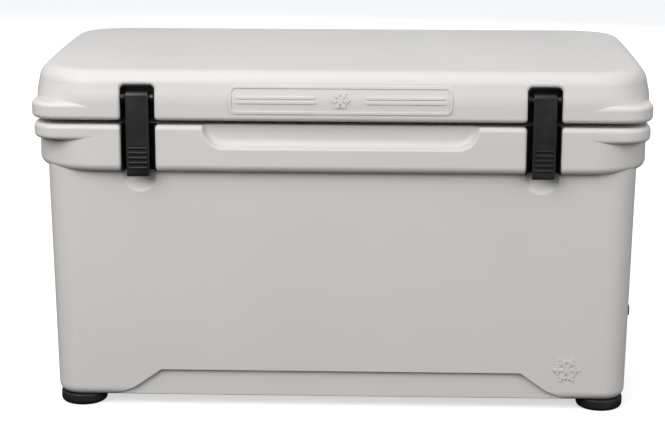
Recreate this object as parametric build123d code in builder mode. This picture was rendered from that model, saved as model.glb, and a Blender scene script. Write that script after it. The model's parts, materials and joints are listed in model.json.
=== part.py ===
from build123d import *
import os
from math import radians, tan

# Insulated double-wall cooler chest with a hinged lid, two front latches and a drain.
# Millimetres, +Z up. The front faces -Y and +X is to the right of someone facing it.
# The origin lies on the floor under the middle of the chest.

# Overall sizes
chest_length = 780.0
chest_depth = 424.0
chest_height = 448.0

# Heights of the lid and of the moulded bands
lid_height = 66.0
lid_gap = 6.0
flange_height = 22.0
dome_rise = 27.0
lip_height = 20.0
band_height = 60.0
stand_height = 15.0
crown_drop = 5.0

# Moulded walls, plan corners and edges
skin = 4.5
lip_inset = 2.0
band_step = 14.0
ear_radius = 36.0
corner_radius = 80.0
wall_radius = 36.0
wall_draft = 1.0
dome_lean = 12.0
dome_blend = 60.0
dome_edge = 20.0
flange_edge = 6.0
lip_edge = 6.0
band_edge = 10.0
base_edge = 12.0

# Cold space
wall_thickness = 46.0
floor_thickness = 63.0
cavity_radius = 34.0
cavity_draft = 1.5
cavity_floor_edge = 12.0
rim_edge = 3.0

# Lid plug and gasket
plug_depth = 20.0
plug_clearance = 4.0
plug_draft = 6.0
gasket_width = 8.0
gasket_groove = 3.0
gasket_margin = 5.0
gasket_play = 0.3

# Latches
latch_inset = 137.0
recess_width = 43.0
recess_head = 44.0
recess_corner = 6.0
recess_edge = 4.0
dish_drop = 6.0
dish_edge = 4.0
liner_wall = 3.0
liner_play = 0.3
liner_setback = 5.0
strap_width = 28.4
strap_thickness = 9.0
strap_proud = 2.0
strap_drop = 99.0
eye_radius = 8.5
eye_clearance = 3.5
latch_pin_radius = 3.0
latch_pin_rise = 28.0
latch_pin_setback = 9.0
hook_reach = 6.0
hook_height = 14.0
hook_gap = 0.5
catch_drop = 27.0
catch_height = 7.0
rib_count = 5
rib_pitch = 6.5
rib_height = 1.2
rib_thickness = 3.0
rib_margin = 3.0
catch_screw_drop = 10.0
liner_screw_rise = 10.0
liner_screw_spread = 9.0

# Hinges
hinge_width = 60.0
outer_knuckle = 15.0
hinge_standoff = 1.5
barrel_radius = 7.0
hinge_pin_radius = 3.0
leaf_thickness = 4.0
body_leaf_height = 34.0
lid_leaf_height = 20.0
leaf_web = 14.0
leaf_screw_spread = 20.0
leaf_play = 0.3
knuckle_gap = 0.5
barrel_relief = 1.0

# Running and screw fits
running_play = 0.05
screw_play = 0.05

# Screws
screw_head_radius = 4.0
screw_shank_radius = 2.0
screw_length = 16.0
screw_drive_width = 1.2
screw_drive_depth = 1.2
boss_wall = 4.0

# Feet
foot_radius = 30.0
foot_inset = 31.6
foot_edge = 6.0
foot_screw_head = 7.0
foot_screw_head_height = 4.0
foot_screw_shank = 3.0
foot_screw_length = 34.0
foot_screw_setback = 3.0
foot_screw_play = 0.3

# Front scoop, end handles and skirt relief
scoop_margin = 60.0
scoop_height = 28.0
scoop_depth = 12.0
scoop_corner = 27.0
scoop_cove = 10.0
scoop_edge = 3.0
handle_width = 120.0
handle_rise = 30.0
handle_fall = 22.0
handle_depth = 22.0
handle_lip = 12.0
handle_corner = 5.0
skirt_inset = 142.0
skirt_height = 37.0
skirt_run = 34.0
skirt_shoulder = 13.0
skirt_toe = 31.0
skirt_corner = 8.0
skirt_depth = 5.0

# Relief marks
mark_height = 1.2
mark_inset = 83.0
mark_rise = 42.0
emblem_margin = 114.5
emblem_bottom = 10.0
emblem_height = 35.0
emblem_border = 3.0
flake_radius = 17.0
flake_bar = 3.2

# Drain
drain_tube_radius = 11.5
drain_bore_radius = 9.0
drain_play = 0.3
drain_flange_radius = 22.0
drain_flange_thickness = 3.0
drain_seal_thickness = 1.5
drain_seat_depth = 4.0
drain_collar_radius = 14.0
drain_collar_length = 9.5
drain_nut_radius = 18.0
drain_nut_thickness = 6.0
drain_tube_overrun = 2.0
drain_seat_margin = 5.0
sump_length = 46.0
sump_margin = 3.0
sump_seat = 2.0
cap_play = 0.5
cap_wall = 4.5
cap_end = 3.5
cap_seal = 1.5
cap_groove = 1.6
cap_groove_count = 12
cap_setback = 1.0
grip_length = 34.0
grip_height = 13.0
grip_reach = 6.5
grip_corner = 3.0

# Levels and half sizes that follow from them
rim_z = chest_height - lid_height - lid_gap
lid_z = rim_z + lid_gap
band_z = rim_z - band_height
lid_x = chest_length / 2
lid_y = chest_depth / 2
band_x = lid_x - lip_inset
band_y = lid_y - lip_inset
wall_x = band_x - band_step
wall_y = band_y - band_step
wall_shrink = (band_z - stand_height) * tan(radians(wall_draft))
cavity_x = wall_x - wall_thickness
cavity_y = wall_y - wall_thickness
floor_z = stand_height + floor_thickness

# Latches: the strap turns on its pin in the lid and hooks under the catch in the band
latch_x = lid_x - latch_inset
latch_places = {"left": -latch_x, "right": latch_x}
recess_depth = latch_pin_setback + eye_radius + eye_clearance + liner_wall
recess_floor = lid_y - recess_depth
liner_face = recess_floor + liner_wall
liner_front = lid_y - liner_setback
pin_y = latch_pin_setback - lid_y
pin_z = lid_z + latch_pin_rise
strap_front = -(lid_y + strap_proud)
strap_back = strap_front + strap_thickness
strap_low = pin_z - strap_drop
catch_z = rim_z - catch_drop
dish_depth = wall_y - recess_floor
dish_radius = ((recess_width / 2) ** 2 + dish_depth**2) / (2 * dish_depth)

# Hinges: their common axis lies just behind the back, half way up the gap
hinge_y = lid_y + hinge_standoff
hinge_z = rim_z + lid_gap / 2
body_leaf_top = hinge_z - barrel_radius - barrel_relief
lid_leaf_low = hinge_z + barrel_radius + barrel_relief
body_leaf_face = band_y - leaf_thickness
lid_leaf_face = lid_y - leaf_thickness

# Feet and drain
foot_x = wall_x - wall_shrink - foot_inset
foot_y = wall_y - wall_shrink - foot_inset
drain_z = floor_z + drain_bore_radius
drain_seat_x = wall_x - (band_z - drain_z) * tan(radians(wall_draft)) - drain_seat_depth
sump_x = cavity_x - (rim_z - drain_z) * tan(radians(cavity_draft)) + sump_seat
flange_x = drain_seat_x + drain_seal_thickness
collar_x = flange_x + drain_flange_thickness
collar_end = collar_x + drain_collar_length
cap_end_x = collar_end + cap_seal + cap_end
nut_x = sump_x - drain_seal_thickness - drain_nut_thickness

# Screw seats: each plane lies on the head's face and looks out of the work
front_way = (0, -1, 0)
back_way = (0, 1, 0)
bracket_seats = [
    Plane((x + dx, -liner_face, lid_z + liner_screw_rise), z_dir=front_way)
    for x in latch_places.values()
    for dx in (-liner_screw_spread, liner_screw_spread)
]
keeper_seats = [
    Plane((x, -liner_face, z), z_dir=front_way)
    for x in latch_places.values()
    for z in (rim_z - catch_screw_drop, band_z + liner_screw_rise)
]
body_leaf_seats = [
    Plane((x + dx, band_y, body_leaf_top - body_leaf_height / 2), z_dir=back_way)
    for x in latch_places.values()
    for dx in (-leaf_screw_spread, leaf_screw_spread)
]
lid_leaf_seats = [
    Plane((x + dx, lid_y, lid_leaf_low + lid_leaf_height / 2), z_dir=back_way)
    for x in latch_places.values()
    for dx in (-leaf_screw_spread, leaf_screw_spread)
]
foot_places = {
    "front_left": (-foot_x, -foot_y),
    "front_right": (foot_x, -foot_y),
    "rear_left": (-foot_x, foot_y),
    "rear_right": (foot_x, foot_y),
}
foot_seats = [Plane((x, y, foot_screw_setback), z_dir=(0, 0, -1)) for x, y in foot_places.values()]
body_seats = keeper_seats + body_leaf_seats
lid_seats = bracket_seats + lid_leaf_seats
centre_top = (Align.CENTER, Align.CENTER, Align.MAX)
centre_low = (Align.CENTER, Align.CENTER, Align.MIN)


def plan_block(half_x, half_y, radius, low, high, draft=0.0, mode=Mode.ADD):
    # An upright block with round corners that narrows downwards by its draft.
    with BuildSketch(Plane.XY.offset(high)) as plan:
        RectangleRounded(2 * half_x, 2 * half_y, radius)
    extrude(plan.sketch, amount=low - high, taper=draft, mode=mode)


def eared_slab(half_x, half_y, low, high, inset, edge):
    # The lip and the lid flange: a slab whose rims are rounded and whose ears stand out.
    with BuildPart() as slab:
        plan_block(half_x - inset, half_y - inset, ear_radius - inset, low + inset, high - inset)
        if edge > 0:
            fillet(slab.edges().filter_by(Axis.Z, reverse=True), edge)
    return slab.part


def band_block(inset):
    with BuildPart() as band:
        plan_block(band_x - inset, band_y - inset, corner_radius - inset, band_z + inset, rim_z - inset)
        if inset == 0:
            fillet(band.faces().sort_by(Axis.Z)[0].edges(), band_edge)
            fillet(band.faces().sort_by(Axis.Z)[-1].edges(), lip_edge)
    return band.part


def wall_block(inset, edge):
    with BuildPart() as wall:
        plan_block(
            wall_x - inset, wall_y - inset, wall_radius - inset,
            stand_height + inset, band_z + skin, wall_draft,
        )
        if edge > 0:
            fillet(wall.faces().sort_by(Axis.Z)[0].edges(), edge)
    return wall.part


def dome_block(inset, edge):
    # The lid's dome: straight at first, then leaning in under a crowned top.
    top_z = chest_height - inset
    crown_radius = (lid_y**2 + crown_drop**2) / (2 * crown_drop)
    with BuildPart() as dome:
        plan_block(lid_x - inset, lid_y - inset, corner_radius - inset, lid_z + inset, lid_z + dome_rise)
        with BuildSketch(Plane.XY.offset(lid_z + dome_rise)):
            RectangleRounded(2 * (lid_x - inset), 2 * (lid_y - inset), corner_radius - inset)
        extrude(amount=lid_height - dome_rise + skin, taper=dome_lean)
        with BuildSketch(Plane.YZ.offset(-chest_length)):
            with Locations((0, top_z - crown_radius)):
                Circle(crown_radius)
        extrude(amount=2 * chest_length, mode=Mode.INTERSECT)
        if edge > 0:
            crease = dome.edges().filter_by_position(
                Axis.Z, lid_z + dome_rise - 0.01, lid_z + dome_rise + 0.01
            )
            fillet(crease, dome_blend)
            fillet(dome.faces().sort_by(Axis.Z)[-1].edges(), edge)
            fillet(dome.faces().sort_by(Axis.Z)[0].edges(), flange_edge)
    return dome.part


def body_latch_recess(x, grow=0.0):
    # A slot through the band, open at the rim, that runs out in a round dish in the wall below.
    with BuildSketch(Plane.XZ.offset(recess_floor - grow)) as slot:
        with Locations((x, band_z - grow)):
            Rectangle(recess_width + 2 * grow, 2 * band_height, align=(Align.CENTER, Align.MIN))
    extrude(slot.sketch, amount=chest_depth, mode=Mode.SUBTRACT)
    with Locations((x, -(recess_floor + dish_radius), band_z - dish_drop)):
        Cylinder(dish_radius + grow, dish_drop, align=centre_low, mode=Mode.SUBTRACT)
        Sphere(dish_radius + grow, arc_size1=-90, arc_size2=0, align=centre_top, mode=Mode.SUBTRACT)


def lid_latch_recess(x, grow=0.0):
    # A slot in the lid's front, open below, with round upper corners.
    with BuildSketch(Plane.XZ.offset(recess_floor - grow)) as slot:
        with Locations((x, lid_z + recess_head + grow)):
            Rectangle(recess_width + 2 * grow, 2 * recess_head, align=(Align.CENTER, Align.MAX))
        fillet(slot.vertices().group_by(Axis.Y)[-1], recess_corner)
    extrude(slot.sketch, amount=chest_depth, mode=Mode.SUBTRACT)


def scoop_block(grow):
    # The finger scoop in the band: open at the rim, with round lower corners and a coved back.
    half = latch_x - recess_width / 2 - scoop_margin + grow
    with BuildPart() as scoop:
        with BuildSketch(Plane.XZ.offset(band_y - scoop_depth - grow)) as outline:
            with Locations((0, rim_z - scoop_height - grow)):
                Rectangle(2 * half, 3 * scoop_height, align=(Align.CENTER, Align.MIN))
            fillet(outline.vertices().group_by(Axis.Y)[0], scoop_corner + grow)
        extrude(amount=chest_depth / 4)
        fillet(scoop.faces().sort_by(Axis.Y)[-1].edges(), scoop_cove + grow)
    return scoop.part


def end_handle(way, grow=0.0):
    # A hand pocket that goes up behind the band, with a sloping floor in the wall below.
    inner = wall_x - handle_depth
    outer = band_x - handle_lip
    with BuildSketch(Plane.XZ) as pocket:
        Polygon(
            (way * inner, band_z + handle_rise), (way * outer, band_z + handle_rise),
            (way * outer, band_z), (way * (band_x + handle_depth), band_z),
            (way * (band_x + handle_depth), band_z - handle_fall),
            (way * wall_x, band_z - handle_fall), (way * inner, band_z), align=None,
        )
        fillet(pocket.vertices().group_by(Axis.Y)[-1], handle_corner)
        if grow > 0:
            offset(amount=grow)
    extrude(pocket.sketch, amount=handle_width / 2 + grow, both=True, mode=Mode.SUBTRACT)


def skirt_relief(way, grow=0.0):
    # A shallow set-back along the foot of the front and back walls.
    half_top = wall_x - skirt_inset
    top_z = stand_height + skirt_height
    shoulder_z = stand_height + skirt_shoulder
    low_z = stand_height - skirt_shoulder
    shoulder_x = half_top + skirt_run
    toe_x = shoulder_x + 2 * skirt_toe
    base_y = wall_y - wall_shrink - skirt_depth - grow
    with BuildSketch(Plane.XZ.offset(-way * base_y)) as panel:
        Polygon(
            (-half_top, top_z), (half_top, top_z), (shoulder_x, shoulder_z), (toe_x, low_z),
            (-toe_x, low_z), (-shoulder_x, shoulder_z), align=None,
        )
        fillet(panel.vertices().filter_by_position(Axis.Y, shoulder_z - 0.01, top_z + 0.01), skirt_corner)
        if grow > 0:
            offset(amount=grow)
    extrude(panel.sketch, amount=-way * chest_depth / 4, mode=Mode.SUBTRACT)


def body_leaf_pocket(x, grow=0.0):
    low = body_leaf_top - body_leaf_height - leaf_play - grow
    width = hinge_width + 2 * (leaf_play + grow)
    with Locations((x, body_leaf_face - grow, low)):
        Box(width, chest_depth, rim_z + band_height - low,
            align=(Align.CENTER, Align.MIN, Align.MIN), mode=Mode.SUBTRACT)


def lid_leaf_pocket(x, grow=0.0):
    high = lid_leaf_low + lid_leaf_height + leaf_play + grow
    width = hinge_width + 2 * (leaf_play + grow)
    with Locations((x, lid_leaf_face - grow, high)):
        Box(width, chest_depth, high - rim_z,
            align=(Align.CENTER, Align.MIN, Align.MAX), mode=Mode.SUBTRACT)


def barrel_clearance(x, grow=0.0):
    # Room for the knuckles in the edges of the lip and the lid flange.
    with Locations((x, hinge_y, hinge_z)):
        Cylinder(
            barrel_radius + barrel_relief + grow, hinge_width + 2 * (leaf_play + grow),
            rotation=(0, 90, 0), mode=Mode.SUBTRACT,
        )


def screw_holes(seats, grow=0.0):
    with Locations(*seats):
        Cylinder(
            screw_shank_radius + screw_play + grow, screw_length + screw_play + grow,
            align=centre_top, mode=Mode.SUBTRACT,
        )


def foot_screw_holes(grow=0.0):
    with Locations(*foot_seats):
        Cylinder(
            foot_screw_shank + screw_play + grow, foot_screw_length + screw_play + grow,
            align=centre_top, mode=Mode.SUBTRACT,
        )


def drain_passage(grow=0.0):
    # The through hole, the flat seat outside and the sump in the floor inside.
    with Locations(Plane((sump_x - sump_length / 2, 0, drain_z), z_dir=(1, 0, 0))):
        Cylinder(
            drain_tube_radius + drain_play + grow, chest_length / 2,
            align=centre_low, mode=Mode.SUBTRACT,
        )
    with Locations(Plane((drain_seat_x - grow, 0, drain_z), z_dir=(1, 0, 0))):
        Cylinder(
            drain_flange_radius + drain_seat_margin + grow, chest_length / 4,
            align=centre_low, mode=Mode.SUBTRACT,
        )
    side = 2 * (drain_nut_radius + sump_margin + grow)
    with Locations((sump_x + grow, 0, drain_z)):
        Box(sump_length + 2 * grow, side, side,
            align=(Align.MAX, Align.CENTER, Align.CENTER), mode=Mode.SUBTRACT)


def cold_space(grow=0.0):
    plan_block(
        cavity_x + grow, cavity_y + grow, cavity_radius + grow,
        floor_z - grow, rim_z + grow, cavity_draft, Mode.SUBTRACT,
    )


def gasket_ring(width, low, high, mode=Mode.ADD):
    # A ring on the rim, round the mouth of the cold space.
    middle = gasket_margin + gasket_width / 2
    with BuildSketch(Plane.XY.offset(low)) as ring:
        for half, cut in ((middle + width / 2, Mode.ADD), (middle - width / 2, Mode.SUBTRACT)):
            RectangleRounded(2 * (cavity_x + half), 2 * (cavity_y + half), cavity_radius + half, mode=cut)
    extrude(ring.sketch, amount=high - low, mode=mode)


def lid_plug(inset, draft):
    # The part of the lid that drops into the mouth of the cold space.
    inset_all = plug_clearance + inset
    plan_block(
        cavity_x - inset_all, cavity_y - inset_all, cavity_radius - inset_all,
        lid_z - plug_depth + inset, lid_z + skin, draft,
    )


def snowflake(x, z, reach):
    # Six plain arms, each with a short cross bar.
    with Locations((x, z)):
        with PolarLocations(0, 3):
            Rectangle(2 * reach, flake_bar)
        with PolarLocations(reach * 0.65, 6):
            Rectangle(flake_bar, reach * 0.6)


def body_cuts(grow=0.0):
    for x in latch_places.values():
        body_latch_recess(x, grow)
        body_leaf_pocket(x, grow)
        barrel_clearance(x, grow)
    for way in (-1, 1):
        end_handle(way, grow)
        skirt_relief(way, grow)
    drain_passage(grow)


def lid_cuts(grow=0.0):
    for x in latch_places.values():
        lid_latch_recess(x, grow)
        lid_leaf_pocket(x, grow)
        barrel_clearance(x, grow)


def slot_edges(piece):
    # The edges where the latch slots break out of the front, clear of their floors and dishes.
    def breaks_out(edge):
        box = edge.bounding_box()
        reach = [max(abs(box.min.X - x), abs(box.max.X - x)) for x in latch_places.values()]
        in_front = box.max.Y < -recess_floor - 0.01 and box.min.Z > band_z - 0.01
        return in_front and min(reach) < recess_width / 2 + 0.01 and edge.length > recess_edge / 2

    return piece.edges().filter_by(breaks_out)


def dish_edges(piece):
    # The curved outlines where the dishes run out into the wall below the band.
    def runs_out(edge):
        box = edge.bounding_box()
        beside = min(abs(edge.center().X - x) for x in latch_places.values()) < recess_width
        return beside and box.max.Y < -recess_floor - 0.01 and box.max.Z < band_z + 0.01

    low = band_z - dish_drop - 2 * dish_radius
    near = piece.edges().filter_by(GeomType.LINE, reverse=True).filter_by(runs_out)
    return near.filter_by_position(Axis.Z, low, band_z)


def scoop_edges(piece):
    # The lower edge of the scoop's outline, with its two corners.
    low = rim_z - scoop_height
    near = piece.edges().filter_by_position(Axis.Y, -band_y - 0.01, -band_y + 0.01)
    near = near.filter_by_position(Axis.Z, low - 0.01, low + scoop_corner)
    return near.filter_by(lambda edge: abs(edge.center().X) < latch_x - recess_width / 2 - scoop_margin)


def write(piece, label):
    piece.part.label = label
    export_step(piece.part, f"parts/{label}.step")


os.makedirs("parts", exist_ok=True)

# Body: the foam core fills the space between the outer wall and the cold space
lip_core = eared_slab(band_x, band_y, rim_z - lip_height, rim_z, skin, 0)
band_core = band_block(skin)
wall_core = wall_block(skin, 0)
scoop_core = scoop_block(skin)
with BuildPart() as body_foam:
    add(lip_core)
    add(band_core)
    add(wall_core)
    cold_space(skin)
    body_cuts(skin)
    add(scoop_core, mode=Mode.SUBTRACT)
    screw_holes(body_seats, boss_wall)
    foot_screw_holes(boss_wall)
write(body_foam, "body_foam")

with BuildPart() as cavity_cut:
    plan_block(cavity_x, cavity_y, cavity_radius, floor_z, rim_z, cavity_draft)
    fillet(cavity_cut.faces().sort_by(Axis.Z)[0].edges(), cavity_floor_edge)
    plan_block(
        cavity_x + rim_edge, cavity_y + rim_edge, cavity_radius + rim_edge, rim_z - rim_edge, rim_z, 45
    )

# A raised snowflake low on the front wall
wall_raised = wall_block(-mark_height, 0)
with BuildPart() as wall_mark:
    with BuildSketch(Plane.XZ.offset(wall_y - wall_shrink - skin)):
        snowflake(wall_x - mark_inset, stand_height + mark_rise, flake_radius)
    extrude(amount=chest_depth / 4)
    add(wall_raised, mode=Mode.INTERSECT)

lip = eared_slab(band_x, band_y, rim_z - lip_height, rim_z, 0, lip_edge)
band = band_block(0)
wall = wall_block(0, base_edge)
scoop = scoop_block(0)
with BuildPart() as body_shell:
    add(lip)
    add(band)
    add(wall)
    body_cuts()
    add(scoop, mode=Mode.SUBTRACT)
    fillet(slot_edges(body_shell), recess_edge)
    fillet(dish_edges(body_shell), dish_edge)
    fillet(scoop_edges(body_shell), scoop_edge)
    add(wall_mark.part)
    add(cavity_cut.part, mode=Mode.SUBTRACT)
    screw_holes(body_seats)
    foot_screw_holes()
    add(body_foam.part, mode=Mode.SUBTRACT)
write(body_shell, "body_shell")

# Lid: a domed outer skin with ears, a plug below and a foam core inside
flange_core = eared_slab(lid_x, lid_y, lid_z, lid_z + flange_height, skin, 0)
dome_core = dome_block(skin, 0)
with BuildPart() as lid_foam:
    add(flange_core)
    add(dome_core)
    lid_plug(skin, plug_draft)
    gasket_ring(gasket_width + 2 * (gasket_play + skin), lid_z, lid_z + gasket_groove + skin, Mode.SUBTRACT)
    lid_cuts(skin)
    screw_holes(lid_seats, boss_wall)
write(lid_foam, "lid_foam")

# A raised plain plaque on the front of the lid
dome_raised = dome_block(-mark_height, dome_edge)
emblem_length = 2 * (latch_x - emblem_margin)
emblem_z = lid_z + emblem_bottom + emblem_height / 2
bar_length = emblem_length / 2 - emblem_height - 2 * emblem_border
bar_x = emblem_length / 2 - 3 * emblem_border - bar_length / 2
with BuildPart() as lid_mark:
    with BuildSketch(Plane.XZ.offset(lid_y - 2 * skin)):
        with Locations((0, emblem_z)):
            RectangleRounded(emblem_length, emblem_height, emblem_height / 4)
            RectangleRounded(
                emblem_length - 2 * emblem_border, emblem_height - 2 * emblem_border,
                emblem_height / 4 - emblem_border, mode=Mode.SUBTRACT,
            )
        snowflake(0, emblem_z, emblem_height / 2 - 2 * emblem_border)
        with Locations((0, emblem_z)):
            with GridLocations(2 * bar_x, 2 * emblem_border, 2, 2):
                SlotOverall(bar_length, emblem_border)
    extrude(amount=chest_depth / 4)
    add(dome_raised, mode=Mode.INTERSECT)

flange = eared_slab(lid_x, lid_y, lid_z, lid_z + flange_height, 0, flange_edge)
dome = dome_block(0, dome_edge)
with BuildPart() as lid_shell:
    add(dome)
    add(flange)
    lid_cuts()
    fillet(slot_edges(lid_shell), recess_edge)
    add(lid_mark.part)
    lid_plug(0, plug_draft)
    gasket_ring(gasket_width + 2 * gasket_play, lid_z - plug_depth, lid_z + gasket_groove, Mode.SUBTRACT)
    screw_holes(lid_seats)
    add(lid_foam.part, mode=Mode.SUBTRACT)
write(lid_shell, "lid_shell")

with BuildPart() as lid_gasket:
    gasket_ring(gasket_width, rim_z, lid_z + gasket_groove)
write(lid_gasket, "lid_gasket")

# Latches: a lined recess above and below the gap, a pin, and a strap that hooks under the catch
half_liner = recess_width / 2 - liner_play
for side, x in latch_places.items():
    with BuildPart() as bracket:
        with BuildSketch(Plane.XZ.offset(recess_floor)) as outline:
            with Locations((x, lid_z + recess_head - liner_play)):
                Rectangle(2 * half_liner, recess_head - 2 * liner_play, align=(Align.CENTER, Align.MAX))
            fillet(outline.vertices().group_by(Axis.Y)[-1], recess_corner - liner_play)
        extrude(amount=liner_front - recess_floor)
        with BuildSketch(Plane.XZ.offset(liner_face)) as room:
            with Locations((x, lid_z + recess_head - liner_play - liner_wall)):
                Rectangle(2 * (half_liner - liner_wall), recess_head, align=(Align.CENTER, Align.MAX))
        extrude(amount=recess_depth, mode=Mode.SUBTRACT)
        with Locations((x, pin_y, pin_z)):
            Cylinder(latch_pin_radius, recess_width, rotation=(0, 90, 0), mode=Mode.SUBTRACT)
        with Locations(*[seat for seat in bracket_seats if abs(seat.origin.X - x) < recess_width]):
            CounterSinkHole(screw_shank_radius + screw_play, screw_head_radius, liner_wall, 90)
    write(bracket, f"latch_bracket_{side}")

    with BuildPart() as pin:
        with Locations((x, pin_y, pin_z)):
            Cylinder(latch_pin_radius, 2 * half_liner, rotation=(0, 90, 0))
    write(pin, f"latch_pin_{side}")

    with BuildPart() as keeper:
        with BuildSketch(Plane.XZ.offset(recess_floor)) as outline:
            with Locations((x, band_z + liner_play)):
                Rectangle(2 * half_liner, band_height - 2 * liner_play, align=(Align.CENTER, Align.MIN))
        extrude(amount=liner_front - recess_floor)
        with BuildSketch(Plane.XZ.offset(liner_face)) as room:
            with Locations((x, band_z)):
                Rectangle(2 * (half_liner - liner_wall), band_height, align=(Align.CENTER, Align.MIN))
        extrude(amount=recess_depth, mode=Mode.SUBTRACT)
        with Locations((x, -liner_face, catch_z)):
            Box(2 * half_liner - liner_wall, -pin_y - liner_face, catch_height,
                align=(Align.CENTER, Align.MAX, Align.MIN))
        with Locations(*[seat for seat in keeper_seats if abs(seat.origin.X - x) < recess_width]):
            CounterSinkHole(screw_shank_radius + screw_play, screw_head_radius, liner_wall, 90)
    write(keeper, f"keeper_{side}")

    with BuildPart() as strap:
        with BuildSketch(Plane.YZ.offset(x)) as profile:
            Polygon(
                (strap_front, strap_low), (strap_front, pin_z + eye_radius), (pin_y, pin_z + eye_radius),
                (pin_y, pin_z), (strap_back, pin_z), (strap_back, strap_low), align=None,
            )
            fillet(profile.vertices().group_by(Axis.X)[0], strap_thickness / 2)
            with Locations((pin_y, pin_z)):
                Circle(eye_radius)
            Polygon(
                (strap_back, catch_z - hook_gap), (pin_y + hook_reach, catch_z - hook_gap),
                (pin_y + hook_reach, catch_z - hook_gap - hook_height / 2),
                (strap_back, catch_z - hook_gap - hook_height), align=None,
            )
            with Locations((pin_y, pin_z)):
                Circle(latch_pin_radius + running_play, mode=Mode.SUBTRACT)
        extrude(amount=strap_width / 2, both=True)
        with Locations(*[(x, strap_front, strap_low + rib_pitch * (i + 1)) for i in range(rib_count)]):
            Box(strap_width - 2 * rib_margin, 2 * rib_height, rib_thickness)
    write(strap, f"latch_{side}")

# Hinges: outer knuckles on the body's leaf, the middle one on the lid's leaf, and a steel pin
for side, x in latch_places.items():
    with BuildPart() as body_leaf:
        with Locations((x, body_leaf_face, body_leaf_top)):
            Box(hinge_width, leaf_thickness, body_leaf_height, align=(Align.CENTER, Align.MIN, Align.MAX))
        for way in (-1, 1):
            with BuildSketch(Plane.YZ.offset(x + way * hinge_width / 2)) as knuckle:
                Polygon(
                    (body_leaf_face, hinge_z), (hinge_y, hinge_z), (hinge_y, hinge_z - leaf_web),
                    (body_leaf_face, hinge_z - leaf_web), align=None,
                )
                with Locations((hinge_y, hinge_z)):
                    Circle(barrel_radius)
                    Circle(hinge_pin_radius, mode=Mode.SUBTRACT)
            extrude(amount=-way * outer_knuckle)
        with Locations(*[seat for seat in body_leaf_seats if abs(seat.origin.X - x) < hinge_width]):
            CounterSinkHole(screw_shank_radius + screw_play, screw_head_radius, leaf_thickness, 90)
    write(body_leaf, f"hinge_body_leaf_{side}")

    with BuildPart() as lid_leaf:
        with Locations((x, lid_leaf_face, lid_leaf_low)):
            Box(hinge_width, leaf_thickness, lid_leaf_height, align=(Align.CENTER, Align.MIN, Align.MIN))
        with BuildSketch(Plane.YZ.offset(x)) as knuckle:
            Polygon(
                (lid_leaf_face, hinge_z), (hinge_y, hinge_z), (hinge_y, hinge_z + leaf_web),
                (lid_leaf_face, hinge_z + leaf_web), align=None,
            )
            with Locations((hinge_y, hinge_z)):
                Circle(barrel_radius)
                Circle(hinge_pin_radius + running_play, mode=Mode.SUBTRACT)
        extrude(amount=hinge_width / 2 - outer_knuckle - knuckle_gap, both=True)
        with Locations(*[seat for seat in lid_leaf_seats if abs(seat.origin.X - x) < hinge_width]):
            CounterSinkHole(screw_shank_radius + screw_play, screw_head_radius, leaf_thickness, 90)
    write(lid_leaf, f"hinge_lid_leaf_{side}")

    with BuildPart() as hinge_pin:
        with Locations((x, hinge_y, hinge_z)):
            Cylinder(hinge_pin_radius, hinge_width, rotation=(0, 90, 0))
        chamfer(hinge_pin.edges(), hinge_pin_radius / 4)
    write(hinge_pin, f"hinge_pin_{side}")

# Screws: flat heads for the liners and leaves, pan heads for the feet
for label, seats in (
    ("keeper_screws", keeper_seats),
    ("latch_bracket_screws", bracket_seats),
    ("hinge_body_screws", body_leaf_seats),
    ("hinge_lid_screws", lid_leaf_seats),
):
    head = screw_head_radius - screw_play
    with BuildPart() as screws:
        with Locations(*seats):
            Cone(screw_shank_radius, head, head - screw_shank_radius, align=centre_top)
            Cylinder(screw_shank_radius, screw_length, align=centre_top)
            Box(head, screw_drive_width, screw_drive_depth, align=centre_top, mode=Mode.SUBTRACT)
            Box(screw_drive_width, head, screw_drive_depth, align=centre_top, mode=Mode.SUBTRACT)
    write(screws, label)

with BuildPart() as foot_screws:
    with Locations(*foot_seats):
        Cylinder(foot_screw_shank, foot_screw_length, align=centre_top)
        Cylinder(foot_screw_head, foot_screw_head_height, align=centre_top)
        Box(foot_screw_head, screw_drive_width, screw_drive_depth, align=centre_top, mode=Mode.SUBTRACT)
        Box(screw_drive_width, foot_screw_head, screw_drive_depth, align=centre_top, mode=Mode.SUBTRACT)
write(foot_screws, "foot_screws")

for side, (x, y) in foot_places.items():
    with BuildPart() as foot:
        with Locations((x, y, 0)):
            Cylinder(foot_radius, stand_height, align=centre_low)
        fillet(foot.faces().sort_by(Axis.Z)[0].edges(), foot_edge)
        with Locations((x, y, 0)):
            Cylinder(
                foot_screw_head + foot_screw_play, foot_screw_setback + foot_screw_head_height,
                align=centre_low, mode=Mode.SUBTRACT,
            )
            Cylinder(foot_screw_shank + screw_play, stand_height, align=centre_low, mode=Mode.SUBTRACT)
    write(foot, f"foot_{side}")

# Drain: a flanged tube through the wall, a nut and two gaskets, and a screw cap with its seal


def drain_disc(start, length, radius, mode=Mode.ADD):
    # A round section of the drain, along +X from its start.
    with Locations(Plane((start, 0, drain_z), z_dir=(1, 0, 0))):
        Cylinder(radius, length, align=centre_low, mode=mode)


tube_end = nut_x - drain_tube_overrun
with BuildPart() as drain_fitting:
    drain_disc(tube_end, collar_end - tube_end, drain_tube_radius)
    drain_disc(flange_x, drain_flange_thickness, drain_flange_radius)
    drain_disc(collar_x, drain_collar_length, drain_collar_radius)
    drain_disc(tube_end, collar_end - tube_end, drain_bore_radius, Mode.SUBTRACT)
write(drain_fitting, "drain_fitting")

with BuildPart() as drain_gasket_outer:
    drain_disc(drain_seat_x, drain_seal_thickness, drain_flange_radius)
    drain_disc(drain_seat_x, drain_seal_thickness, drain_tube_radius + drain_play, Mode.SUBTRACT)
write(drain_gasket_outer, "drain_gasket_outer")

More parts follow.
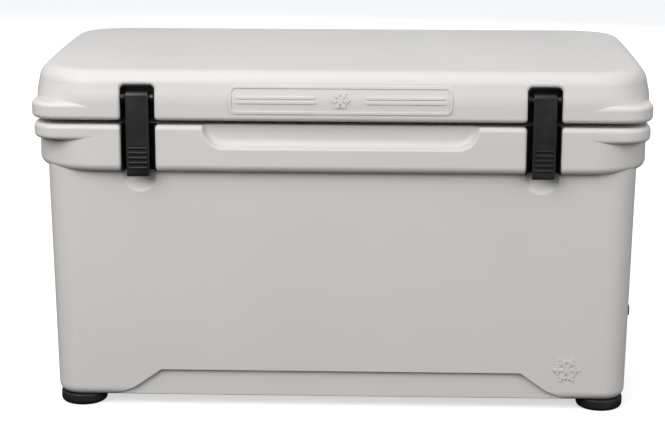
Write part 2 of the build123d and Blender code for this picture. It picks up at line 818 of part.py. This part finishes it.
inner_seal_x = sump_x - drain_seal_thickness
with BuildPart() as drain_gasket_inner:
    drain_disc(inner_seal_x, drain_seal_thickness, drain_nut_radius)
    drain_disc(inner_seal_x, drain_seal_thickness, drain_tube_radius + drain_play, Mode.SUBTRACT)
write(drain_gasket_inner, "drain_gasket_inner")

with BuildPart() as drain_nut:
    with BuildSketch(Plane.YZ.offset(nut_x)):
        with Locations((0, drain_z)):
            RegularPolygon(drain_nut_radius, 8)
            Circle(drain_tube_radius + screw_play, mode=Mode.SUBTRACT)
    extrude(amount=drain_nut_thickness)
write(drain_nut, "drain_nut")

with BuildPart() as drain_seal:
    drain_disc(collar_end, cap_seal, drain_collar_radius)
write(drain_seal, "drain_seal")

cap_radius = drain_collar_radius + cap_play + cap_wall
cap_start = collar_x + cap_setback
with BuildPart() as drain_cap:
    drain_disc(cap_start, cap_end_x - cap_start, cap_radius)
    chamfer(drain_cap.faces().sort_by(Axis.X)[-1].edges(), cap_end / 3)
    drain_disc(cap_start, collar_end + cap_seal - cap_start, drain_collar_radius + cap_play, Mode.SUBTRACT)
    with Locations(Plane((cap_start, 0, drain_z), z_dir=(1, 0, 0))):
        with PolarLocations(cap_radius, cap_groove_count):
            Cylinder(cap_groove, cap_end_x - cap_start, align=centre_low, mode=Mode.SUBTRACT)
    with BuildSketch(Plane.YZ.offset(cap_end_x)):
        with Locations((0, drain_z)):
            RectangleRounded(grip_length, grip_height, grip_corner)
    extrude(amount=grip_reach)
write(drain_cap, "drain_cap")
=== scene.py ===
import bpy
import bmesh
import json
from math import pi, radians
from mathutils import Euler, Matrix, Vector


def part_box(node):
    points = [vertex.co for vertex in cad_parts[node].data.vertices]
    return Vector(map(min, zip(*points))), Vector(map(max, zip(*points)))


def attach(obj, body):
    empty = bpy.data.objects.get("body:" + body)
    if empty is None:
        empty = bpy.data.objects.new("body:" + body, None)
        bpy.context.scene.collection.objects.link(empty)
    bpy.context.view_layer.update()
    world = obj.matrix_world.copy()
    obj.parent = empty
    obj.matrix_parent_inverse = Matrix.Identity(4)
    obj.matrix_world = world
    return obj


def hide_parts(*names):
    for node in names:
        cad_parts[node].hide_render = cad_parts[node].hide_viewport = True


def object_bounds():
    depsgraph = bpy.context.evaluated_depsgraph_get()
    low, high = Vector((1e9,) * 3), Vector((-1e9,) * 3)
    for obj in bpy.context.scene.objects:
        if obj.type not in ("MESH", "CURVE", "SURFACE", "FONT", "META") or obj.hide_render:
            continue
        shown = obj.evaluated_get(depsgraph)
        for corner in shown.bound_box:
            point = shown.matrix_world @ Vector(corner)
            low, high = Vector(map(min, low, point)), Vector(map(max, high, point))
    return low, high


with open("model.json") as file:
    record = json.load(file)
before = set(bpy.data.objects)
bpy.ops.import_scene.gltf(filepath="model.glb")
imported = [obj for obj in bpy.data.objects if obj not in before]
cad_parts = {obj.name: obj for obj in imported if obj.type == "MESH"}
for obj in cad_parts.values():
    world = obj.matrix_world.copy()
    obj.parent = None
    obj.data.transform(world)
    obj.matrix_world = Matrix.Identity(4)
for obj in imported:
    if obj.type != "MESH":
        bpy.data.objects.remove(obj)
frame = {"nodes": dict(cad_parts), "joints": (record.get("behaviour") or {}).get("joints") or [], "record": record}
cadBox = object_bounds()
nodes = frame["nodes"]
slotOf = {part["node"]: part["material_slot"] for part in frame["record"]["subparts"]}
bodies = frame["record"]["behaviour"]["bodies"]
bodyOf = {name: body for body, names in bodies.items() for name in names}
jointAt = {joint["name"]: joint.get("pos_m") for joint in frame["joints"]}
print("frame loaded with", len(nodes), "nodes")

cameraValues = {
    "place": (0.0614, -2.4999, 0.8077),
    "pitch": -0.235,
    "yaw": 0.031,
    "roll": 0.002,
    "lens": 101.57,
    "sensor": 36.0,
}


def makeCamera(v):
    data = bpy.data.cameras.new("viewCamera")
    data.lens = v["lens"]
    data.sensor_width = v["sensor"]
    data.sensor_fit = "HORIZONTAL"
    camera = bpy.data.objects.new("viewCamera", data)
    bpy.context.scene.collection.objects.link(camera)
    turn = Euler((pi / 2 + v["pitch"], 0, v["yaw"])).to_matrix() @ Matrix.Rotation(v["roll"], 3, "Z")
    camera.matrix_world = Matrix.Translation(v["place"]) @ turn.to_4x4()
    bpy.context.scene.camera = camera


makeCamera(cameraValues)
print("camera placed")


# one dictionary per finish: sizes in metres, noise scales per metre
finishValues = {
    "shell": {  # rotomoulded polyethylene, warm light grey with a satin skin
        "color": (0.635, 0.607, 0.580),
        "patch": 0.014, "patchScale": 5.0,
        "grain": 0.016, "grainScale": 620.0, "grainDepth": 0.000035,
        "waveScale": 11.0, "waveDepth": 0.00030,
        "roughness": 0.40, "roughSpread": 0.06,
        "specular": 0.32,
        "edgeReach": 0.0022, "wear": 0.16, "wearColor": (0.74, 0.72, 0.69),
        "scuff": 0.10,
    },
    "foam": {
        "color": (0.82, 0.74, 0.50),
        "patch": 0.10, "patchScale": 18.0,
        "grain": 0.12, "grainScale": 900.0, "grainDepth": 0.0003,
        "waveScale": 30.0, "waveDepth": 0.0010,
        "roughness": 0.9, "roughSpread": 0.05,
        "edgeReach": 0.002, "wear": 0.10, "wearColor": (0.90, 0.84, 0.62),
        "scuff": 0.0,
    },
    "steel": {
        "color": (0.56, 0.56, 0.57), "metallic": 1.0,
        "patch": 0.06, "patchScale": 90.0,
        "grain": 0.05, "grainScale": 2400.0, "grainDepth": 0.00001,
        "waveScale": 200.0, "waveDepth": 0.00001,
        "roughness": 0.27, "roughSpread": 0.08,
        "edgeReach": 0.0004, "wear": 0.25, "wearColor": (0.75, 0.75, 0.76),
        "scuff": 0.25,
    },
    "foot_rubber": {
        "color": (0.010, 0.010, 0.0103),
        "patch": 0.16, "patchScale": 45.0,
        "grain": 0.15, "grainScale": 1500.0, "grainDepth": 0.00006,
        "waveScale": 90.0, "waveDepth": 0.00008,
        "roughness": 0.52, "roughSpread": 0.10,
        "edgeReach": 0.0012, "wear": 0.30, "wearColor": (0.055, 0.053, 0.050),
        "scuff": 0.30,
    },
    "seal_rubber": {
        "color": (0.030, 0.030, 0.031),
        "patch": 0.12, "patchScale": 60.0,
        "grain": 0.10, "grainScale": 1800.0, "grainDepth": 0.00004,
        "waveScale": 60.0, "waveDepth": 0.00010,
        "roughness": 0.60, "roughSpread": 0.06,
        "edgeReach": 0.001, "wear": 0.15, "wearColor": (0.07, 0.07, 0.07),
        "scuff": 0.10,
    },
    "drain_plastic": {
        "color": (0.024, 0.024, 0.025),
        "patch": 0.10, "patchScale": 60.0,
        "grain": 0.10, "grainScale": 2000.0, "grainDepth": 0.00004,
        "waveScale": 80.0, "waveDepth": 0.00005,
        "roughness": 0.40, "roughSpread": 0.08,
        "edgeReach": 0.0008, "wear": 0.30, "wearColor": (0.075, 0.075, 0.077),
        "scuff": 0.20,
    },
    "hinge_plastic": {
        "color": (0.023, 0.023, 0.024),
        "patch": 0.12, "patchScale": 50.0,
        "grain": 0.15, "grainScale": 1600.0, "grainDepth": 0.00007,
        "waveScale": 70.0, "waveDepth": 0.00006,
        "roughness": 0.43, "roughSpread": 0.08,
        "edgeReach": 0.0009, "wear": 0.35, "wearColor": (0.08, 0.08, 0.08),
        "scuff": 0.25,
    },
    "latch_rubber": {
        "color": (0.0125, 0.0125, 0.0128),
        "patch": 0.14, "patchScale": 40.0,
        "grain": 0.12, "grainScale": 1700.0, "grainDepth": 0.00005,
        "waveScale": 60.0, "waveDepth": 0.00010,
        "roughness": 0.40, "roughSpread": 0.08,
        "edgeReach": 0.0012, "wear": 0.35, "wearColor": (0.070, 0.070, 0.070),
        "scuff": 0.20,
    },
    "liner_plastic": {
        "color": (0.0075, 0.0078, 0.0090),
        "patch": 0.10, "patchScale": 50.0,
        "grain": 0.08, "grainScale": 1900.0, "grainDepth": 0.00002,
        "waveScale": 70.0, "waveDepth": 0.00008,
        "roughness": 0.33, "roughSpread": 0.06,
        "edgeReach": 0.0008, "wear": 0.20, "wearColor": (0.05, 0.05, 0.055),
        "scuff": 0.15,
    },
}


# what every finish shares: noise details, speckles, rubbed edges and scuffs
surfaceValues = {
    "patchDetail": 3.0, "grainDetail": 2.0, "waveDetail": 1.5,
    "speckShade": 0.55, "specular": 0.5,
    "bevelSamples": 6, "edgeFrom": 0.80, "edgeTo": 0.985,
    "wearScale": 55.0, "wearDetail": 4.0, "wearLow": 0.35,
    "scuffScale": 60.0, "scuffDetail": 5.0, "scuffFrom": 0.62, "scuffTo": 0.72,
    "scuffStretch": (1.0, 1.0, 14.0), "scuffTurn": (0.2, 0.35, 0.0),
}


def scaledColor(color, factor):
    return tuple(min(1.0, c * factor) for c in color) + (1.0,)


def makeFinish(name, v, common):
    mat = bpy.data.materials.new(name)
    mat.use_nodes = True
    tree = mat.node_tree
    shader = tree.nodes["Principled BSDF"]
    link = tree.links.new
    place = tree.nodes.new("ShaderNodeTexCoord").outputs["Object"]

    def noise(scale, detail, source=place):
        node = tree.nodes.new("ShaderNodeTexNoise")
        node.inputs["Scale"].default_value = scale
        node.inputs["Detail"].default_value = detail
        link(source, node.inputs["Vector"])
        return node.outputs["Fac"]

    def spread(source, low, high, fromLow=0.3, fromHigh=0.7):
        node = tree.nodes.new("ShaderNodeMapRange")
        node.inputs["From Min"].default_value = fromLow
        node.inputs["From Max"].default_value = fromHigh
        node.inputs["To Min"].default_value = low
        node.inputs["To Max"].default_value = high
        link(source, node.inputs["Value"])
        return node.outputs["Result"]

    def blendColor(factor, first, second):
        node = tree.nodes.new("ShaderNodeMix")
        node.data_type = "RGBA"
        link(factor, node.inputs["Factor"])
        for socket, color in ((node.inputs["A"], first), (node.inputs["B"], second)):
            if isinstance(color, tuple):
                socket.default_value = color
            else:
                link(color, socket)
        return node.outputs["Result"]

    def maths(operation, first, second):
        node = tree.nodes.new("ShaderNodeMath")
        node.operation = operation
        for socket, value in ((node.inputs[0], first), (node.inputs[1], second)):
            if isinstance(value, float):
                socket.default_value = value
            else:
                link(value, socket)
        return node.outputs["Value"]

    patches = noise(v["patchScale"], common["patchDetail"])  # slow drift of the colour
    grain = noise(v["grainScale"], common["grainDetail"])
    darker = scaledColor(v["color"], 1 - v["patch"])
    lighter = scaledColor(v["color"], 1 + v["patch"])
    color = blendColor(spread(patches, 0.0, 1.0), darker, lighter)
    speck = scaledColor(v["color"], common["speckShade"])
    speckle = blendColor(spread(grain, 0.0, v["grain"]), color, speck)

    # edges rubbed a little paler, broken up by a coarse noise
    soft = tree.nodes.new("ShaderNodeBevel")
    soft.samples = common["bevelSamples"]
    soft.inputs["Radius"].default_value = v["edgeReach"]
    flat = tree.nodes.new("ShaderNodeNewGeometry")
    facing = tree.nodes.new("ShaderNodeVectorMath")
    facing.operation = "DOT_PRODUCT"
    link(soft.outputs["Normal"], facing.inputs[0])
    link(flat.outputs["Normal"], facing.inputs[1])
    edge = spread(facing.outputs["Value"], v["wear"], 0.0, common["edgeFrom"], common["edgeTo"])
    broken = spread(noise(common["wearScale"], common["wearDetail"]), common["wearLow"], 1.0)
    rubbed = maths("MULTIPLY", edge, broken)
    worn = blendColor(rubbed, speckle, (*v["wearColor"], 1.0))
    link(worn, shader.inputs["Base Color"])

    # long faint scuffs live in the roughness only
    stretch = tree.nodes.new("ShaderNodeMapping")
    stretch.inputs["Scale"].default_value = common["scuffStretch"]
    stretch.inputs["Rotation"].default_value = common["scuffTurn"]
    link(place, stretch.inputs["Vector"])
    streaks = noise(common["scuffScale"], common["scuffDetail"], stretch.outputs["Vector"])
    scuffs = spread(streaks, 0.0, v["scuff"], common["scuffFrom"], common["scuffTo"])
    sheenDrift = spread(patches, v["roughness"] - v["roughSpread"], v["roughness"] + v["roughSpread"])
    link(maths("ADD", sheenDrift, scuffs), shader.inputs["Roughness"])

    waves = tree.nodes.new("ShaderNodeBump")
    waves.inputs["Strength"].default_value = 1.0
    waves.inputs["Distance"].default_value = v["waveDepth"]
    link(noise(v["waveScale"], common["waveDetail"]), waves.inputs["Height"])
    fine = tree.nodes.new("ShaderNodeBump")
    fine.inputs["Strength"].default_value = 1.0
    fine.inputs["Distance"].default_value = v["grainDepth"]
    link(grain, fine.inputs["Height"])
    link(waves.outputs["Normal"], fine.inputs["Normal"])
    link(fine.outputs["Normal"], shader.inputs["Normal"])
    shader.inputs["Metallic"].default_value = v.get("metallic", 0.0)
    shader.inputs["Specular IOR Level"].default_value = v.get("specular", common["specular"])
    return mat


finishes = {name: makeFinish(name + "Finish", v, surfaceValues) for name, v in finishValues.items()}
for name, node in nodes.items():
    finish = finishes[slotOf[name]]
    if not node.material_slots:
        node.data.materials.append(finish)
    for slot in node.material_slots:
        slot.material = finish
print("finishes made for", len(finishes), "slots")


# small modelling helpers: the ones that pick or slice work in edit mode

def startBox(name, low, high):
    bpy.ops.object.select_all(action="DESELECT")
    low, high = Vector(low), Vector(high)
    bpy.ops.mesh.primitive_cube_add(size=1, location=(low + high) / 2, scale=high - low)
    return settle(name)


def startRod(name, middle, radius, length, turn=(0, 0, 0), sides=96):
    bpy.ops.object.select_all(action="DESELECT")
    bpy.ops.mesh.primitive_cylinder_add(
        vertices=sides, radius=radius, depth=length, location=middle, rotation=turn
    )
    return settle(name)


def settle(name):
    piece = bpy.context.object
    piece.name = name
    piece.data.name = name
    bpy.ops.object.transform_apply(location=True, rotation=True, scale=True)
    return piece


def pick(piece, kind, test):
    bpy.ops.mesh.select_mode(type=kind)
    bpy.ops.mesh.select_all(action="DESELECT")
    mesh = bmesh.from_edit_mesh(piece.data)
    parts = {"VERT": mesh.verts, "EDGE": mesh.edges, "FACE": mesh.faces}[kind]
    for part in parts:
        if test(part):
            part.select_set(True)
    mesh.select_flush_mode()
    bmesh.update_edit_mesh(piece.data)


def near(a, b, gap=0.00002):
    return abs(a - b) < gap


def mid(edge):
    return (edge.verts[0].co + edge.verts[1].co) / 2


def run(edge):
    return (edge.verts[1].co - edge.verts[0].co).normalized()


def along(edge, axis, least=0.5):
    return abs(run(edge)[axis]) > least


def faces(face, axis, sign, least=0.99):
    return face.normal[axis] * sign > least


def middleZ(face):
    return face.calc_center_median().z


def beginEdit(piece):
    bpy.ops.object.select_all(action="DESELECT")
    piece.select_set(True)
    bpy.context.view_layer.objects.active = piece
    bpy.ops.object.mode_set(mode="EDIT")


def endEdit():
    bpy.ops.object.mode_set(mode="OBJECT")


def sliceAt(piece, point, normal, clear=False):
    bpy.ops.mesh.select_all(action="SELECT")
    bpy.ops.mesh.bisect(plane_co=point, plane_no=normal, use_fill=clear, clear_inner=clear)


def applyModifier(piece, kind, **settings):
    bpy.ops.object.select_all(action="DESELECT")
    piece.select_set(True)
    bpy.context.view_layer.objects.active = piece
    change = piece.modifiers.new(kind.lower(), kind)
    for key, value in settings.items():
        setattr(change, key, value)
    bpy.ops.object.modifier_apply(modifier=change.name)


def combine(piece, other, way):
    applyModifier(piece, "BOOLEAN", operation=way, object=other, solver="EXACT")
    bpy.data.objects.remove(other)


def joinInto(piece, others):
    bpy.ops.object.select_all(action="DESELECT")
    for other in others:
        other.select_set(True)
    piece.select_set(True)
    bpy.context.view_layer.objects.active = piece
    bpy.ops.object.join()


def ownCopy(piece, name, shift):
    copy = bpy.data.objects.new(name, piece.data.copy())
    copy.data.transform(Matrix.Translation(shift))
    bpy.context.scene.collection.objects.link(copy)
    return copy


def finishPiece(piece, node, angle=32):
    bpy.ops.object.select_all(action="DESELECT")
    piece.select_set(True)
    bpy.context.view_layer.objects.active = piece
    bpy.ops.object.shade_smooth_by_angle(angle=radians(angle))
    piece.data.materials.clear()
    piece.data.materials.append(finishes[slotOf[node]])
    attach(piece, bodyOf[node])
    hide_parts(node)


# latch straps: rubber pulls with a rounded head, a ribbed grip panel, a hook and a pin eye

strapValues = {
    "thick": 0.0090,
    "headRound": 0.0050,
    "toeRound": 0.0038,
    "sideRound": 0.0016,
    "ribCount": 5, "ribPitch": 0.0063, "ribThick": 0.0026, "ribRise": 0.0014,
    "ribSide": 0.0030, "ribFirst": 0.0106, "ribTop": 0.0010, "ribRound": 0.0003,
    "ribRoot": 0.0024,
    "panelSide": 0.0021, "panelStep": 0.0012, "panelSlope": 0.0005, "panelMargin": 0.0020,
    "hookTop": 0.0375, "hookHeight": 0.0140, "hookReach": 0.0080, "hookSlope": 0.0070, "hookRound": 0.0009,
    "eyeRadius": 0.0085, "pinHole": 0.00305, "holeSides": 64, "eyeRound": 0.0008,
}


def makeStrap(side, v):
    node = "latch_" + side
    low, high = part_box(node)
    pin = Vector(jointAt[side + "_latch_pivot"])
    front = low.y + v["ribRise"]
    back = front + v["thick"]
    strap = startBox(side + "Strap", (low.x, front, low.z), (high.x, back, high.z))
    beginEdit(strap)
    pick(strap, "EDGE", lambda e: near(mid(e).y, front) and near(mid(e).z, high.z))
    bpy.ops.mesh.bevel(offset=v["headRound"], segments=6, affect="EDGES")
    pick(strap, "EDGE", lambda e: near(mid(e).y, front) and near(mid(e).z, low.z))
    bpy.ops.mesh.bevel(offset=v["toeRound"], segments=4, affect="EDGES")
    pick(strap, "EDGE", lambda e: not along(e, 0) and mid(e).y < back - v["sideRound"])
    bpy.ops.mesh.bevel(offset=v["sideRound"], segments=4, affect="EDGES")
    # the grip panel sinks a little between the ribs
    panelLow = low.z + v["ribFirst"] - v["panelMargin"]
    panelHigh = panelLow + v["ribPitch"] * (v["ribCount"] - 1) + v["ribThick"] + 2 * v["panelMargin"]
    hookHigh = low.z + v["hookTop"]
    hookLow = hookHigh - v["hookHeight"]
    for level in (panelLow, panelHigh, hookLow, hookHigh):
        sliceAt(strap, (0, 0, level), (0, 0, 1))
    pick(strap, "FACE", lambda f: faces(f, 1, -1) and panelLow < middleZ(f) < panelHigh
         and near(f.calc_center_median().x, pin.x, v["ribSide"]))
    bpy.ops.mesh.inset(thickness=v["panelSide"] - v["sideRound"] / 2, depth=0)
    bpy.ops.mesh.inset(thickness=v["panelSlope"], depth=-v["panelStep"])
    # the hook that catches under the keeper's bar
    pick(strap, "FACE", lambda f: faces(f, 1, 1) and hookLow < middleZ(f) < hookHigh)
    bpy.ops.mesh.extrude_region_move(TRANSFORM_OT_translate={"value": (0, v["hookReach"], 0)})
    hookBack = back + v["hookReach"]
    pick(strap, "VERT", lambda p: near(p.co.y, hookBack) and near(p.co.z, hookLow))
    bpy.ops.transform.translate(value=(0, 0, v["hookSlope"]))
    pick(strap, "EDGE", lambda e: near(mid(e).y, hookBack))
    bpy.ops.mesh.bevel(offset=v["hookRound"], segments=3, affect="EDGES")
    endEdit()
    crossways = (0, pi / 2, 0)
    eye = startRod("eye", pin, v["eyeRadius"], high.x - low.x, crossways)
    beginEdit(eye)
    pick(eye, "EDGE", lambda e: not along(e, 0))
    bpy.ops.mesh.bevel(offset=v["eyeRound"], segments=3, affect="EDGES")
    endEdit()
    combine(strap, eye, "UNION")
    hole = startRod("hole", pin, v["pinHole"], 2 * (high.x - low.x), crossways, v["holeSides"])
    combine(strap, hole, "DIFFERENCE")
    # one rib with a rounded upper edge and a sharper lower one, then its copies
    ribLow = low.z + v["ribFirst"]
    ribHigh = ribLow + v["ribThick"]
    root = front + v["ribRoot"]
    rib = startBox("rib", (low.x + v["ribSide"], low.y, ribLow), (high.x - v["ribSide"], root, ribHigh))
    beginEdit(rib)
    pick(rib, "EDGE", lambda e: near(mid(e).y, low.y) and near(mid(e).z, ribHigh))
    bpy.ops.mesh.bevel(offset=v["ribTop"], segments=4, affect="EDGES")
    pick(rib, "EDGE", lambda e: near(mid(e).y, low.y) and near(mid(e).z, ribLow))
    bpy.ops.mesh.bevel(offset=v["ribRound"], segments=2, affect="EDGES")
    endEdit()
    ribs = [ownCopy(rib, "rib", (0, 0, v["ribPitch"] * i)) for i in range(1, v["ribCount"])]
    joinInto(strap, [rib] + ribs)
    finishPiece(strap, node)


for side in ("left", "right"):
    makeStrap(side, strapValues)
print("latch straps made")


# liners of the latch slots: black pockets with a sloped head above and a catch bar below

linerValues = {
    "rim": 0.0009,
    "floorWall": 0.0030,
    "draft": 0.94,
    "headCorner": 0.0057,
    "headSlope": 0.0030, "headReach": 0.0100,
    "rimRound": 0.0003,
    "spare": 0.0120,
    "bossRadius": 0.0060, "bossGap": 0.0006, "bossRound": 0.0007, "bossSides": 48,
    "barFront": 0.0040, "barLow": 0.0327, "barHeight": 0.0070, "barRound": 0.0012,
}


def makePocket(name, low, high, v, openTop):
    extra = v["spare"] if openTop else 0.0
    pocket = startBox(name, (low.x, low.y, low.z - v["spare"]), (high.x, high.y, high.z + extra))
    centre = (low + high) / 2
    floorY = high.y - v["floorWall"]
    beginEdit(pocket)
    if not openTop:
        pick(pocket, "EDGE", lambda e: along(e, 1) and near(mid(e).z, high.z))
        bpy.ops.mesh.bevel(offset=v["headCorner"], segments=8, affect="EDGES")
    pick(pocket, "FACE", lambda f: faces(f, 1, -1))
    bpy.ops.mesh.inset(thickness=v["rim"], depth=0)
    bpy.ops.mesh.extrude_region_move(TRANSFORM_OT_translate={"value": (0, floorY - low.y, 0)})
    bpy.ops.transform.resize(value=(v["draft"], 1, 1), center_override=centre)
    if not openTop:
        pick(pocket, "VERT", lambda p: near(p.co.y, floorY) and p.co.z > high.z - v["headReach"])
        bpy.ops.transform.translate(value=(0, 0, -v["headSlope"]))
        sliceAt(pocket, (0, 0, low.z), (0, 0, 1), clear=True)
    else:
        sliceAt(pocket, (0, 0, low.z), (0, 0, 1), clear=True)
        sliceAt(pocket, (0, 0, high.z), (0, 0, -1), clear=True)
    pick(pocket, "EDGE", lambda e: near(mid(e).y, low.y))
    bpy.ops.mesh.bevel(offset=v["rimRound"], segments=2, affect="EDGES")
    endEdit()
    return pocket


def makeKeeper(side, v):
    node = "keeper_" + side
    low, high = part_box(node)
    keeper = makePocket(side + "Keeper", low, high, v, True)
    strapLow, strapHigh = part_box("latch_" + side)
    barLow = low.z + v["barLow"]
    bar = startBox(
        "bar", (strapLow.x, low.y + v["barFront"], barLow),
        (strapHigh.x, high.y - v["floorWall"] / 2, barLow + v["barHeight"]),
    )
    beginEdit(bar)
    pick(bar, "EDGE", lambda e: near(mid(e).y, low.y + v["barFront"]))
    bpy.ops.mesh.bevel(offset=v["barRound"], segments=4, affect="EDGES")
    endEdit()
    joinInto(keeper, [bar])
    finishPiece(keeper, node)


def makeBracket(side, v):
    node = "latch_bracket_" + side
    low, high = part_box(node)
    pin = Vector(jointAt[side + "_latch_pivot"])
    strapLow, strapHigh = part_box("latch_" + side)
    bracket = makePocket(side + "Bracket", low, high, v, False)
    # bosses carry the pin on both sides of the strap
    extras = []
    leftGap = (strapLow.x - v["bossGap"], low.x + v["rim"])
    rightGap = (strapHigh.x + v["bossGap"], high.x - v["rim"])
    for inner, outer in (leftGap, rightGap):
        middle = ((inner + outer) / 2, pin.y, pin.z)
        crossways = (0, pi / 2, 0)
        boss = startRod("boss", middle, v["bossRadius"], abs(outer - inner), crossways, v["bossSides"])
        beginEdit(boss)
        pick(boss, "EDGE", lambda e: near(mid(e).x, inner))
        bpy.ops.mesh.bevel(offset=v["bossRound"], segments=2, affect="EDGES")
        endEdit()
        extras.append(boss)
    joinInto(bracket, extras)
    finishPiece(bracket, node)


for side in ("left", "right"):
    makeBracket(side, linerValues)
    makeKeeper(side, linerValues)
print("latch liners made")


# feet: turned rubber pucks with a waist groove and a cupped sole round the screw

footValues = {
    "soleRound": 0.0060, "topRound": 0.0016,
    "grooveLow": 0.0098, "grooveHigh": 0.0110, "grooveDepth": 0.975, "grooveNarrow": 0.6,
    "soleRing": 0.0050, "cupSlope": 0.0008, "cupDepth": 0.0012,
    "boreInset": 0.0108, "boreDepth": 0.0056,
}


def makeFoot(node, v):
    low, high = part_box(node)
    centre = (low + high) / 2
    foot = startRod(node + "Puck", centre, (high.x - low.x) / 2, high.z - low.z)
    beginEdit(foot)
    pick(foot, "EDGE", lambda e: near(mid(e).z, low.z) and not along(e, 2))
    bpy.ops.mesh.bevel(offset=v["soleRound"], segments=8, affect="EDGES")
    pick(foot, "EDGE", lambda e: near(mid(e).z, high.z) and not along(e, 2))
    bpy.ops.mesh.bevel(offset=v["topRound"], segments=4, affect="EDGES")
    grooveLow = low.z + v["grooveLow"]
    grooveHigh = low.z + v["grooveHigh"]
    for level in (grooveLow, grooveHigh):
        sliceAt(foot, (0, 0, level), (0, 0, 1))
    pick(foot, "FACE", lambda f: grooveLow < middleZ(f) < grooveHigh)
    bpy.ops.mesh.extrude_region_move(TRANSFORM_OT_translate={"value": (0, 0, 0)})
    bpy.ops.transform.resize(
        value=(v["grooveDepth"], v["grooveDepth"], v["grooveNarrow"]),
        center_override=(centre.x, centre.y, (grooveLow + grooveHigh) / 2),
    )
    pick(foot, "FACE", lambda f: faces(f, 2, -1) and near(middleZ(f), low.z))
    bpy.ops.mesh.inset(thickness=v["soleRing"], depth=0)
    bpy.ops.mesh.inset(thickness=v["cupSlope"], depth=-v["cupDepth"])
    bpy.ops.mesh.inset(thickness=v["boreInset"], depth=0)
    bpy.ops.mesh.extrude_region_move(TRANSFORM_OT_translate={"value": (0, 0, v["boreDepth"])})
    endEdit()
    finishPiece(foot, node)


for node in sorted(nodes):
    if node.startswith("foot_") and node != "foot_screws":
        makeFoot(node, footValues)
print("feet made")


# fittings that keep their shape and get broken edges, widths in metres

softEdges = {
    "hinge_body_leaf_left": 0.0006, "hinge_body_leaf_right": 0.0006,
    "hinge_lid_leaf_left": 0.0006, "hinge_lid_leaf_right": 0.0006,
    "drain_cap": 0.0007, "drain_fitting": 0.0006, "drain_nut": 0.0006,
    "keeper_screws": 0.0002, "latch_bracket_screws": 0.0002,
    "hinge_body_screws": 0.0002, "hinge_lid_screws": 0.0002, "foot_screws": 0.0003,
}


softValues = {"merge": 0.000005, "flatAngle": 0.4, "edgeAngle": 38, "smoothAngle": 40}


def softenNode(node, width, v):
    piece = bpy.data.objects.new(node + "Soft", nodes[node].data.copy())
    bpy.context.scene.collection.objects.link(piece)
    beginEdit(piece)
    bpy.ops.mesh.select_all(action="SELECT")
    bpy.ops.mesh.remove_doubles(threshold=v["merge"])
    bpy.ops.mesh.dissolve_limited(angle_limit=radians(v["flatAngle"]))
    endEdit()
    limit = radians(v["edgeAngle"])
    applyModifier(piece, "BEVEL", width=width, segments=2, limit_method="ANGLE", angle_limit=limit)
    finishPiece(piece, node, v["smoothAngle"])


for node, width in softEdges.items():
    softenNode(node, width, softValues)
print("fittings softened")


# floor and studio light

studioValues = {
    "floorSize": 40.0,
    "floorColor": (0.62, 0.62, 0.62),
    "floorGlow": 0.62,
    "floorRoughness": 0.9,
    "skyColor": (0.90, 0.95, 1.0),
    "skyStrength": 0.42,
    "horizonLow": -0.05, "horizonHigh": 0.02,
}
lightValues = {
    "keyLight": {"place": (-1.5, -2.1, 2.1), "size": 2.2, "power": 86.0, "gloss": True},
    "fillLight": {"place": (2.3, -1.8, 1.35), "size": 1.8, "power": 36.0, "gloss": True},
    "topLight": {"place": (-0.2, -0.2, 2.7), "size": 2.2, "power": 9.0, "gloss": True},
    "backLight": {"place": (0.6, 3.0, 1.6), "size": 2.4, "power": 30.0, "gloss": False},
}


def makeLight(name, v):
    data = bpy.data.lights.new(name, "AREA")
    data.shape = "SQUARE"
    data.size = v["size"]
    data.energy = v["power"]
    light = bpy.data.objects.new(name, data)
    bpy.context.scene.collection.objects.link(light)
    light.location = v["place"]
    light.visible_glossy = v["gloss"]
    aim = Vector((0, 0, cadBox[1][2] / 2)) - Vector(v["place"])
    light.rotation_euler = aim.to_track_quat("-Z", "Y").to_euler()


def makeStudio(v):
    bpy.ops.object.select_all(action="DESELECT")
    bpy.ops.mesh.primitive_plane_add(size=v["floorSize"], location=(0, 0, cadBox[0][2]))
    floor = bpy.context.object
    floor.name = "studioFloor"
    paper = bpy.data.materials.new("floorPaper")
    paper.use_nodes = True
    shader = paper.node_tree.nodes["Principled BSDF"]
    shader.inputs["Base Color"].default_value = (*v["floorColor"], 1)
    shader.inputs["Roughness"].default_value = v["floorRoughness"]
    shader.inputs["Emission Color"].default_value = (1, 1, 1, 1)
    shader.inputs["Emission Strength"].default_value = v["floorGlow"]
    floor.data.materials.append(paper)
    floor.visible_diffuse = False  # the paper throws no light back up
    floor.visible_glossy = False
    # an even sky that goes dark below the horizon
    world = bpy.data.worlds.new("studioWorld")
    world.use_nodes = True
    tree = world.node_tree
    back = tree.nodes["Background"]
    back.inputs["Color"].default_value = (*v["skyColor"], 1)
    place = tree.nodes.new("ShaderNodeTexCoord")
    parts = tree.nodes.new("ShaderNodeSeparateXYZ")
    tree.links.new(place.outputs["Generated"], parts.inputs[0])
    above = tree.nodes.new("ShaderNodeMapRange")
    above.inputs["From Min"].default_value = v["horizonLow"]
    above.inputs["From Max"].default_value = v["horizonHigh"]
    above.inputs["To Max"].default_value = v["skyStrength"]
    tree.links.new(parts.outputs["Z"], above.inputs["Value"])
    tree.links.new(above.outputs["Result"], back.inputs["Strength"])
    bpy.context.scene.world = world
    bpy.context.scene.view_settings.view_transform = "Standard"


makeStudio(studioValues)
for name, v in lightValues.items():
    makeLight(name, v)
print("studio lit")
